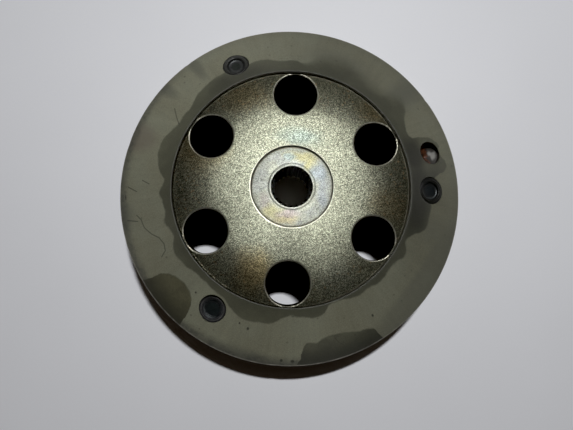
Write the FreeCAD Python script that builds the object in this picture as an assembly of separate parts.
import FreeCAD, Part
import math
import os

from FreeCAD import Vector

# Cup-shaped magneto flywheel, in millimetres and degrees. +Z is the wheel's axis and
# points out of the closed face. The origin is on the axis in the plane of the open rim,
# so the wheel rests on Z = 0. One web hole lies on +Y, the circlip's gap on -Y.

FIT = 0.05                # clearance between neighbouring pieces

# ---- rim shell: cylindrical wall with a cone above it ----
RIM_R = 70.0
RIM_CORNER_Z = 22.4       # corner where wall and cone meet
RIM_LIP_R = 46.13         # lip around the web
RIM_LIP_Z = 35.84
RIM_LIP_BREAK = 0.3
RIM_WALL_IN_R = 65.5
RIM_SEAT_Z = 21.0         # flat seat for the web's flange
CONE_SLOPE = (RIM_LIP_Z - RIM_CORNER_Z) / (RIM_R - RIM_LIP_R)
GROOVE_R = 66.4           # circlip groove
GROOVE_BOTTOM_Z = 1.15
GROOVE_TOP_Z = 2.65

# ---- balance hole, blind, in the cone ----
BALANCE_PCR = 58.39
BALANCE_ANGLE = 17.51
BALANCE_R = 4.75
BALANCE_FLOOR_Z = 23.9
BALANCE_POINT = 2.2       # depth of the pointed end below the floor

# ---- splined hub ----
HUB_SPIGOT_R = 15.79
HUB_FACE_Z = 35.49
HUB_FLANGE_R = 21.2
HUB_FLANGE_Z = 27.4       # underside of the flange
HUB_BOSS_R = 13.2
HUB_END_Z = 9.0
HUB_BLANK_IN_R = 3.0      # inside radius before the bore is cut
HUB_CHAMFER = 0.8
SPLINE_TEETH = 22
SPLINE_TIP_R = 7.2
SPLINE_ROOT_R = 7.9
SPLINE_START_Z = 17.5
SPLINE_SPACE = (          # space between teeth: radius, half width along the arc
    (SPLINE_TIP_R, 0.66),
    ((SPLINE_TIP_R + SPLINE_ROOT_R) / 2, 0.58),
    (SPLINE_ROOT_R, 0.42),
)
PILOT_R = 8.6             # plain pilot bore under the spline
PILOT_TOP_Z = SPLINE_START_Z - 0.9
PILOT_CHAMFER = 0.6
LEAD_HEIGHT = 1.4         # cone from the pilot bore into the spline
BORE_MOUTH_R = 8.15
BORE_MOUTH_DEPTH = 0.75

# ---- web plate ----
WEB_IN_R = HUB_SPIGOT_R + 0.03
WEB_TOP_Z = 36.45         # top of the crown, at the hub
WEB_SEAT_Z = 31.9         # flat under the crown where the hub's flange seats
WEB_FLANGE_R = 63.3
WEB_FLANGE_Z = 17.0       # underside of the flange
WEB_FLANGE_CHAMFER = 0.4
WEB_HOLES = 6
WEB_HOLE_PCR = 37.03
WEB_HOLE_R = 8.47
WEB_HOLE_BREAK = 0.35     # radius on each hole's upper edge

# ---- magnet carrier: ring inside the wall, with a flange turned inward ----
CARRIER_OUT_R = RIM_WALL_IN_R - FIT
CARRIER_IN_R = 64.2
CARRIER_LIP_R = 50.8      # inner edge of the flange
CARRIER_BOTTOM_Z = 2.8
CARRIER_FLANGE_Z = 15.6   # underside of the flange
CARRIER_TOP_Z = WEB_FLANGE_Z
CARRIER_CHAMFER = 0.2
CARRIER_ROUND = 1.4       # rounded upper outside corner

# ---- rivets through rim, web and carrier ----
RIVET_PCR = 55.74
RIVET_ANGLES = (116.31, 1.89, 239.36)
RIVET_SHANK_R = 2.95
RIVET_HOLE_R = RIVET_SHANK_R + FIT
RIVET_END_R = 5.3         # formed end
RIVET_END_DROP = 0.3      # crown of the formed end below the cone
RIVET_END_TILT = 0.32     # slope of the formed end
RIVET_BORE_R = 5.45       # counterbore
RIVET_BORE_SINK = 0.2     # depth of its floor under the cone at the outer side
RIVET_HEAD_R = 4.8        # factory head
RIVET_HEAD_BOTTOM_Z = 13.4
RIVET_HEAD_TOP_Z = CARRIER_FLANGE_Z
RIVET_OVERLAP = 0.4       # shank's reach into the formed end

# ---- sleeve inside the magnets ----
SLEEVE_IN_R = 57.15
SLEEVE_OUT_R = 57.7
SLEEVE_LIP_R = 59.0
SLEEVE_BOTTOM_Z = 2.3
SLEEVE_LIP_TOP_Z = 2.8
SLEEVE_TOP_Z = 13.2
SLEEVE_CHAMFER = 0.35

# ---- magnets ----
MAGNETS = 12
MAGNET_PITCH = 360.0 / MAGNETS
MAGNET_HALF_ANGLE = 14.1
MAGNET_IN_R = SLEEVE_OUT_R + FIT
MAGNET_OUT_R = CARRIER_IN_R - FIT
MAGNET_BOTTOM_Z = SLEEVE_LIP_TOP_Z + FIT
MAGNET_TOP_Z = 12.75
MAGNET_CHAMFER = 0.35

# ---- spacer: ring above the magnets with a bar down between each pair ----
SPACER_BAR_BOTTOM_Z = 2.95
SPACER_RING_Z = MAGNET_TOP_Z + FIT
SPACER_TOP_Z = CARRIER_FLANGE_Z - FIT
SPACER_BAR_WIDTH = 1.6
SPACER_BAR_INSET = 0.02   # bar's inner end from the ring's bore
SPACER_BAR_SHORT = 0.1    # bar's length less than the ring's width
SPACER_BAR_OVERLAP = 0.5  # bar's reach into the ring
POCKET_GAP = 0.4          # around each rivet head, and above the ring's underside

# ---- circlip ----
CLIP_OUT_R = 66.3
CLIP_IN_R = 63.75
CLIP_OFFSET = 0.55        # bore's shift toward the gap
CLIP_BOTTOM_Z = GROOVE_BOTTOM_Z + FIT
CLIP_TOP_Z = GROOVE_TOP_Z - FIT
CLIP_GAP_ANGLE = 270.0
CLIP_GAP_HALF = 5.0       # half angle of the gap
CLIP_LUG_STEP = 1.9       # angle from the gap's edge to a lug
CLIP_LUG_PCR = 62.9
CLIP_LUG_R = 2.1
CLIP_EYE_PCR = 62.6
CLIP_EYE_R = 0.85

AXIS = Vector(0, 0, 1)
ORIGIN = Vector(0, 0, 0)


def cone_z(radius):
    """Height of the rim's cone at a radius."""
    return RIM_CORNER_Z + CONE_SLOPE * (RIM_R - radius)


RIVET_BORE_FLOOR_Z = cone_z(RIVET_PCR + RIVET_BORE_R) - RIVET_BORE_SINK


def polar(radius, degrees, z=0.0):
    angle = math.radians(degrees)
    return Vector(radius * math.cos(angle), radius * math.sin(angle), z)


def revolve(outline):
    """Solid of revolution from a closed (r, z) outline; ("arc", mid, end) draws an arc."""
    start = last = Vector(outline[0][0], 0, outline[0][1])
    edges = []
    for entry in outline[1:]:
        if entry[0] == "arc":
            mid, end = [Vector(r, 0, z) for r, z in entry[1:]]
            edges.append(Part.Arc(last, mid, end).toShape())
        else:
            end = Vector(entry[0], 0, entry[1])
            edges.append(Part.makeLine(last, end))
        last = end
    edges.append(Part.makeLine(last, start))
    solid = Part.Face(Part.Wire(edges)).revolve(ORIGIN, AXIS, 360)
    if solid.Volume < 0:
        solid.reverse()
    return solid


def cylinder(radius, bottom, top, at=ORIGIN):
    """Upright cylinder between two heights; only x and y of `at` count."""
    return Part.makeCylinder(radius, top - bottom, Vector(at.x, at.y, bottom), AXIS)


def cone(bottom_r, top_r, height, bottom, at=ORIGIN):
    return Part.makeCone(bottom_r, top_r, height, Vector(at.x, at.y, bottom), AXIS)


def cut_at_rivets(shape, radius, bottom, top):
    for angle in RIVET_ANGLES:
        shape = shape.cut(cylinder(radius, bottom, top, polar(RIVET_PCR, angle)))
    return shape


def save(name, shape):
    solids = shape.removeSplitter().Solids
    piece = solids[0] if len(solids) == 1 else Part.Compound(solids)
    piece.exportStep("parts/%s.step" % name)


def make_rim():
    rim = revolve([
        (66.2, 0.0), (69.3, 0.0), (RIM_R, 0.7), (RIM_R, RIM_CORNER_Z - 0.45),
        ("arc", (RIM_R - 0.12, RIM_CORNER_Z - 0.1), (RIM_R - 0.4, cone_z(RIM_R - 0.4))),
        (RIM_LIP_R + RIM_LIP_BREAK, cone_z(RIM_LIP_R + RIM_LIP_BREAK)),
        (RIM_LIP_R, RIM_LIP_Z - 0.42),
        (RIM_LIP_R, 34.4), (46.98, 33.2), (52.5, RIM_SEAT_Z),
        (63.8, RIM_SEAT_Z), (RIM_WALL_IN_R, 19.3),
        (RIM_WALL_IN_R, GROOVE_TOP_Z), (GROOVE_R, GROOVE_TOP_Z),
        (GROOVE_R, GROOVE_BOTTOM_Z), (RIM_WALL_IN_R, GROOVE_BOTTOM_Z),
        (RIM_WALL_IN_R, 0.7),
    ])
    for angle in RIVET_ANGLES:
        at = polar(RIVET_PCR, angle)
        rim = rim.cut(cylinder(RIVET_BORE_R, RIVET_BORE_FLOOR_Z, 40, at))
        rim = rim.cut(cylinder(RIVET_HOLE_R, 15, 40, at))
    at = polar(BALANCE_PCR, BALANCE_ANGLE)
    rim = rim.cut(cylinder(BALANCE_R, BALANCE_FLOOR_Z, 40, at))
    return rim.cut(cone(0, BALANCE_R, BALANCE_POINT, BALANCE_FLOOR_Z - BALANCE_POINT, at))


def is_upper_hole_edge(edge):
    box = edge.BoundBox
    return (box.ZMin > 33.0 and box.ZMax < 36.4 and box.XLength > 12
            and abs(math.hypot(box.Center.x, box.Center.y) - WEB_HOLE_PCR) < 1.5)


def make_web():
    chamfer = WEB_FLANGE_CHAMFER
    web = revolve([
        # crown and the slope down to the flange
        (WEB_IN_R + 0.25, WEB_TOP_Z),
        ("arc", (37.03, 35.14), (45.72, 34.10)),
        ("arc", (46.33, 33.72), (46.6, 33.0)),
        (51.6, 21.77),
        ("arc", (51.95, 21.2), (52.6, RIM_SEAT_Z)),
        # flange
        (WEB_FLANGE_R - chamfer, RIM_SEAT_Z), (WEB_FLANGE_R, RIM_SEAT_Z - chamfer),
        (WEB_FLANGE_R, WEB_FLANGE_Z + chamfer), (WEB_FLANGE_R - chamfer, WEB_FLANGE_Z),
        (51.2, WEB_FLANGE_Z),
        # underside, back to the hub
        ("arc", (49.9, 17.35), (48.95, 18.35)),
        (44.25, 28.9),
        ("arc", (43.25, 29.95), (41.8, 30.35)),
        ("arc", (32.0, 31.35), (22.2, WEB_SEAT_Z)),
        (WEB_IN_R, WEB_SEAT_Z),
        (WEB_IN_R, WEB_TOP_Z - 0.22),
    ])
    for k in range(WEB_HOLES):
        at = polar(WEB_HOLE_PCR, 90 + k * 360.0 / WEB_HOLES)
        web = web.cut(cylinder(WEB_HOLE_R, 10, 45, at))
    # The fillet runs on a curved crown and may fail; the hole edges then stay sharp.
    try:
        web = web.makeFillet(WEB_HOLE_BREAK, [e for e in web.Edges if is_upper_hole_edge(e)])
    except Exception:
        pass
    return cut_at_rivets(web, RIVET_HOLE_R, 15, 30)


def spline_wire(z):
    """Closed outline of the toothed bore: spaces wide at the mouth, narrower at the root."""
    # one space, from mouth to root and back out: radius, signed half width
    space = [(r, -half) for r, half in SPLINE_SPACE] + list(reversed(SPLINE_SPACE))
    points = []
    for k in range(SPLINE_TEETH):
        middle = k * 360.0 / SPLINE_TEETH
        for radius, offset in space:
            points.append(polar(radius, middle + math.degrees(offset / radius), z))
    return Part.makePolygon(points + [points[0]])


def make_hub():
    hub = revolve([
        (HUB_BLANK_IN_R, HUB_END_Z),
        (HUB_BOSS_R - HUB_CHAMFER, HUB_END_Z), (HUB_BOSS_R, HUB_END_Z + HUB_CHAMFER),
        (HUB_BOSS_R, HUB_FLANGE_Z - 2.0),
        ("arc", (HUB_BOSS_R + 0.586, HUB_FLANGE_Z - 0.586), (HUB_BOSS_R + 2.0, HUB_FLANGE_Z)),
        (HUB_FLANGE_R - HUB_CHAMFER, HUB_FLANGE_Z),
        (HUB_FLANGE_R, HUB_FLANGE_Z + HUB_CHAMFER),
        (HUB_FLANGE_R, WEB_SEAT_Z), (HUB_SPIGOT_R, WEB_SEAT_Z),
        (HUB_SPIGOT_R, HUB_FACE_Z - 0.15), (HUB_SPIGOT_R - 0.15, HUB_FACE_Z),
        # shallow ring groove in the face
        (9.25, HUB_FACE_Z), (9.1, HUB_FACE_Z - 0.12), (8.9, HUB_FACE_Z - 0.12),
        (8.75, HUB_FACE_Z), (HUB_BLANK_IN_R, HUB_FACE_Z),
    ])
    bore = Part.Face(spline_wire(SPLINE_START_Z - 0.5)).extrude(
        Vector(0, 0, HUB_FACE_Z + 2 - SPLINE_START_Z))
    hub = hub.cut(bore)
    hub = hub.cut(cylinder(PILOT_R, HUB_END_Z - 1, PILOT_TOP_Z))
    # lead from the pilot bore into the spline, then the chamfers of both mouths
    hub = hub.cut(cone(PILOT_R, SPLINE_TIP_R - 0.05, LEAD_HEIGHT, PILOT_TOP_Z))
    hub = hub.cut(cone(SPLINE_TIP_R - 0.15, BORE_MOUTH_R, BORE_MOUTH_DEPTH,
                       HUB_FACE_Z - BORE_MOUTH_DEPTH))
    return hub.cut(cone(PILOT_R + PILOT_CHAMFER, PILOT_R, PILOT_CHAMFER, HUB_END_Z))


def make_rivet(angle):
    # formed end, drawn level about the rivet's own axis with its crown at z = 0:
    # outer step, rounded rim, cup with a flat floor
    end_r = RIVET_END_R
    end = revolve([
        (0.0, -9.0), (end_r, -9.0), (end_r, -0.42), (end_r - 0.18, -0.24),
        (end_r - 0.62, -0.24),
        ("arc", (end_r - 0.80, -0.06), (end_r - 1.15, 0.0)),
        ("arc", (end_r - 1.62, -0.10), (end_r - 1.86, -0.42)),
        (end_r - 2.12, -1.05), (end_r - 2.55, -1.25), (0.0, -1.25),
    ])
    # the end leans with the cone: z falls along the wheel's radius, here +X
    shear = FreeCAD.Matrix()
    shear.A31 = -RIVET_END_TILT
    end = end.transformGeometry(shear)
    end.translate(Vector(0, 0, cone_z(RIVET_PCR) - RIVET_END_DROP))
    # trim it flat on the counterbore's floor
    size = 60
    end = end.cut(Part.makeBox(size, size, size,
                               Vector(-size / 2, -size / 2, RIVET_BORE_FLOOR_Z - size)))
    bottom = RIVET_HEAD_BOTTOM_Z
    shank_top = RIVET_BORE_FLOOR_Z + RIVET_OVERLAP
    body = revolve([
        (0.0, bottom), (RIVET_HEAD_R - 0.9, bottom),
        ("arc", (RIVET_HEAD_R - 0.25, bottom + 0.3), (RIVET_HEAD_R, bottom + 1.0)),
        (RIVET_HEAD_R, RIVET_HEAD_TOP_Z), (RIVET_SHANK_R, RIVET_HEAD_TOP_Z),
        (RIVET_SHANK_R, shank_top), (0.0, shank_top),
    ])
    rivet = end.fuse(body)
    rivet.translate(Vector(RIVET_PCR, 0, 0))
    rivet.rotate(ORIGIN, AXIS, angle)
    return rivet


def make_carrier():
    carrier = revolve([
        (CARRIER_IN_R, CARRIER_BOTTOM_Z), (CARRIER_OUT_R - CARRIER_CHAMFER, CARRIER_BOTTOM_Z),
        (CARRIER_OUT_R, CARRIER_BOTTOM_Z + CARRIER_CHAMFER),
        (CARRIER_OUT_R, CARRIER_TOP_Z - CARRIER_ROUND),
        ("arc", (CARRIER_OUT_R - 0.41, CARRIER_TOP_Z - 0.41),
         (CARRIER_OUT_R - CARRIER_ROUND, CARRIER_TOP_Z)),
        (CARRIER_LIP_R, CARRIER_TOP_Z), (CARRIER_LIP_R, CARRIER_FLANGE_Z),
        (CARRIER_IN_R, CARRIER_FLANGE_Z),
    ])
    return cut_at_rivets(carrier, RIVET_HOLE_R, 10, 20)


def make_magnet(k):
    """Arc-shaped block, centred between two spacer bars, chamfered underneath."""
    middle = (k + 0.5) * MAGNET_PITCH
    angles = (middle - MAGNET_HALF_ANGLE, middle, middle + MAGNET_HALF_ANGLE)
    inner = [polar(MAGNET_IN_R, angle, MAGNET_BOTTOM_Z) for angle in angles]
    outer = [polar(MAGNET_OUT_R, angle, MAGNET_BOTTOM_Z) for angle in angles]
    outline = Part.Wire([
        Part.makeLine(inner[0], outer[0]),
        Part.Arc(*outer).toShape(),
        Part.makeLine(outer[2], inner[2]),
        Part.Arc(inner[2], inner[1], inner[0]).toShape(),
    ])
    block = Part.Face(outline).extrude(Vector(0, 0, MAGNET_TOP_Z - MAGNET_BOTTOM_Z))
    bottom_edges = [e for e in block.Edges
                    if abs(e.BoundBox.ZMin - MAGNET_BOTTOM_Z) < 1e-6
                    and abs(e.BoundBox.ZMax - MAGNET_BOTTOM_Z) < 1e-6]
    return block.makeChamfer(MAGNET_CHAMFER, bottom_edges)


def make_spacer():
    spacer = revolve([
        (MAGNET_IN_R, SPACER_RING_Z), (MAGNET_OUT_R, SPACER_RING_Z),
        (MAGNET_OUT_R, SPACER_TOP_Z), (MAGNET_IN_R, SPACER_TOP_Z),
    ])
    for k in range(MAGNETS):
        bar = Part.makeBox(
            MAGNET_OUT_R - MAGNET_IN_R - SPACER_BAR_SHORT, SPACER_BAR_WIDTH,
            SPACER_RING_Z - SPACER_BAR_BOTTOM_Z + SPACER_BAR_OVERLAP,
            Vector(MAGNET_IN_R + SPACER_BAR_INSET, -SPACER_BAR_WIDTH / 2, SPACER_BAR_BOTTOM_Z))
        bar.rotate(ORIGIN, AXIS, k * MAGNET_PITCH)
        spacer = spacer.fuse(bar)
    # the pockets over the rivet heads stop above the magnets, so the bars stay
    # full length
    return cut_at_rivets(spacer, RIVET_HEAD_R + POCKET_GAP,
                         SPACER_RING_Z + POCKET_GAP, SPACER_TOP_Z + 1)


def make_sleeve():
    return revolve([
        (SLEEVE_IN_R + SLEEVE_CHAMFER, SLEEVE_BOTTOM_Z), (SLEEVE_LIP_R, SLEEVE_BOTTOM_Z),
        (SLEEVE_LIP_R, SLEEVE_LIP_TOP_Z), (SLEEVE_OUT_R, SLEEVE_LIP_TOP_Z),
        (SLEEVE_OUT_R, SLEEVE_TOP_Z), (SLEEVE_IN_R, SLEEVE_TOP_Z),
        (SLEEVE_IN_R, SLEEVE_BOTTOM_Z + SLEEVE_CHAMFER),
    ])


def make_clip():
    below = CLIP_BOTTOM_Z - 1
    above = CLIP_TOP_Z + 1
    # the off-centre bore makes the section deepen away from the gap
    ring = cylinder(CLIP_OUT_R, CLIP_BOTTOM_Z, CLIP_TOP_Z)
    ring = ring.cut(cylinder(CLIP_IN_R, below, above, Vector(0, -CLIP_OFFSET, 0)))
    apex = Vector(0, 0, below)
    wedge = Part.Face(Part.makePolygon([
        apex, polar(80, CLIP_GAP_ANGLE - CLIP_GAP_HALF, below),
        polar(80, CLIP_GAP_ANGLE + CLIP_GAP_HALF, below), apex,
    ])).extrude(Vector(0, 0, 5))
    ring = ring.cut(wedge)
    lug_angles = [CLIP_GAP_ANGLE + side * (CLIP_GAP_HALF + CLIP_LUG_STEP) for side in (-1, 1)]
    for angle in lug_angles:
        lug = cylinder(CLIP_LUG_R, CLIP_BOTTOM_Z, CLIP_TOP_Z, polar(CLIP_LUG_PCR, angle))
        ring = ring.fuse(lug)
    # trim the lugs flush with the gap
    ring = ring.cut(wedge)
    for angle in lug_angles:
        ring = ring.cut(cylinder(CLIP_EYE_R, below, above, polar(CLIP_EYE_PCR, angle)))
    return ring


os.makedirs("parts", exist_ok=True)
save("rim_shell", make_rim())
save("web_plate", make_web())
save("splined_hub", make_hub())
for n, rivet_angle in enumerate(RIVET_ANGLES, 1):
    save("rim_rivet_%d" % n, make_rivet(rivet_angle))
save("magnet_carrier", make_carrier())
for k in range(MAGNETS):
    save("magnet_%02d" % (k + 1), make_magnet(k))
save("magnet_spacer", make_spacer())
save("magnet_sleeve", make_sleeve())
save("retaining_ring", make_clip())
